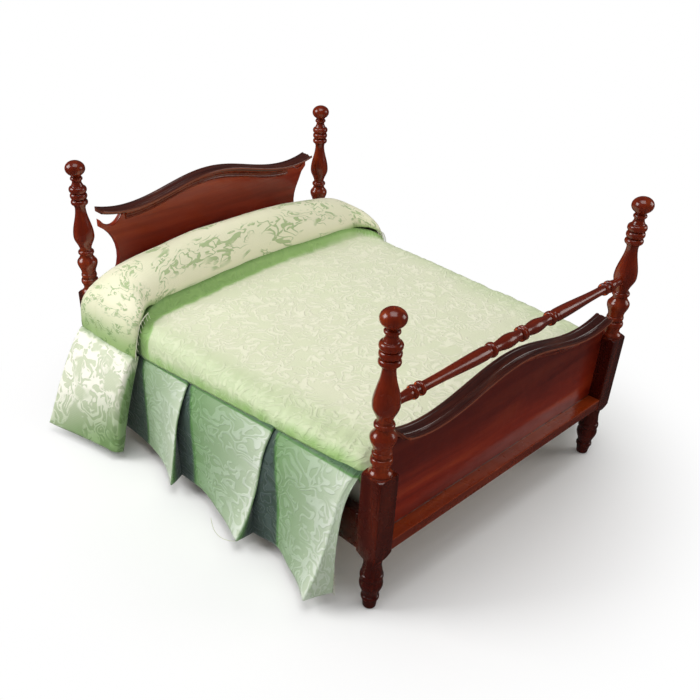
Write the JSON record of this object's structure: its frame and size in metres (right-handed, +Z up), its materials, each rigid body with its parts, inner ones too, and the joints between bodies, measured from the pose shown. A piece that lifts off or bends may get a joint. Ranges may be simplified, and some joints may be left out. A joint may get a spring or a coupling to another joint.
{
  "type": "miniature four poster bed",
  "caption": "Doll's house four poster bed: turned posts, serpentine panelled ends and a blanket rail, with lift-out bedding under a pleated damask coverlet.",
  "frame": {"origin": "on the floor, at the middle of the bed's footprint", "axes": "+Z up, +Y towards the head end, +X to the right when the bed is seen from its foot"},
  "size_m": [0.195, 0.1768, 0.1133],
  "materials": {
    "mahogany": "gloss lacquered red mahogany",
    "dark_mahogany": "gloss lacquered dark mahogany with reeds",
    "pine": "bare sanded wood",
    "calico": "plain woven cotton",
    "damask": "pale green satin damask",
    "leaf_damask": "cream and green leaf damask"
  },
  "bodies": {
    "bedstead": {"foot_post_left": "mahogany", "foot_post_right": "mahogany", "head_post_left": "mahogany", "head_post_right": "mahogany", "footboard_panel": "mahogany", "footboard_rail": "mahogany", "blanket_rail": "mahogany", "headboard_panel": "mahogany", "headboard_rail": "mahogany", "side_rail_left": "mahogany", "side_rail_right": "mahogany", "footboard_crest": "dark_mahogany", "headboard_crest": "dark_mahogany", "cleat_left": "pine", "cleat_right": "pine", "joint_dowels": "pine", "slat_1": "pine", "slat_2": "pine", "slat_3": "pine", "slat_4": "pine", "slat_5": "pine", "slat_6": "pine", "slat_7": "pine"},
    "bedding": {"mattress": "calico", "bolster": "calico", "coverlet_top": "damask", "skirt_left": "damask", "skirt_right": "damask", "bolster_cover": "leaf_damask", "flap_left": "leaf_damask", "flap_right": "leaf_damask"}
  },
  "joints": [
    {"name": "bedding_lift", "type": "slide", "parent": "bedstead", "child": "bedding", "axis": [0, 0, 1], "range_m": [0, 0.12]}
  ]
}
